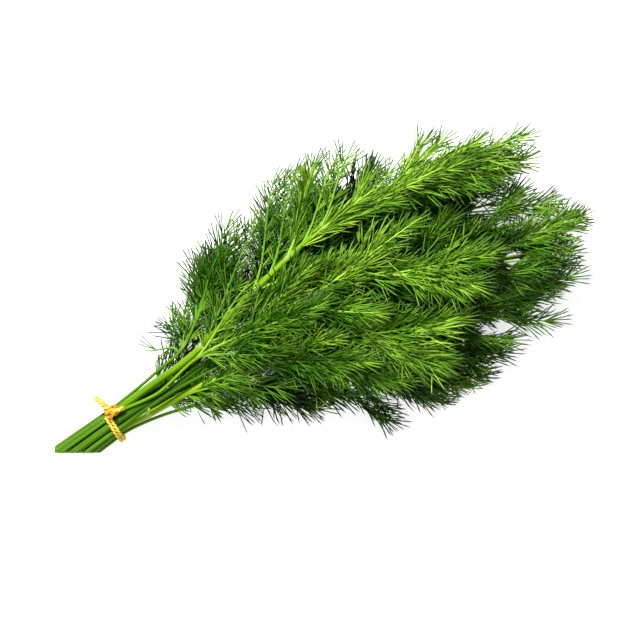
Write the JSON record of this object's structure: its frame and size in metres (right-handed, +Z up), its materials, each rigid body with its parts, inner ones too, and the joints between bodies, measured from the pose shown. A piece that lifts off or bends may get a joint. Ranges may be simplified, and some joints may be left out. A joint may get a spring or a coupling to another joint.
{
  "type": "dill bunch",
  "caption": "Bunch of fresh dill lying on its side, with long slender stalks that branch into feathery leaves and a twine tie near their cut ends.",
  "frame": {"origin": "on the surface that the bunch lies on, at the foot of the first turn of twine round the stalks", "axes": "+X along the bunch from the tie towards the leaf tips, +Y across it to the left of that way, +Z up from the surface"},
  "size_m": [0.3372, 0.1696, 0.0595],
  "materials": {
    "dill_green": "fresh green leaf and stalk, slightly waxy; stands in for plant tissue",
    "twine": "yellow twisted two-strand twine, matt and slightly hairy"
  },
  "bodies": {
    "root": {"dill_stem_01": "dill_green", "dill_stem_02": "dill_green", "dill_stem_03": "dill_green", "dill_stem_04": "dill_green", "dill_stem_05": "dill_green", "dill_stem_06": "dill_green", "dill_stem_07": "dill_green", "dill_stem_08": "dill_green", "dill_stem_09": "dill_green", "dill_stem_10": "dill_green", "dill_stem_11": "dill_green", "twine_tie": "twine"}
  },
  "joints": []
}
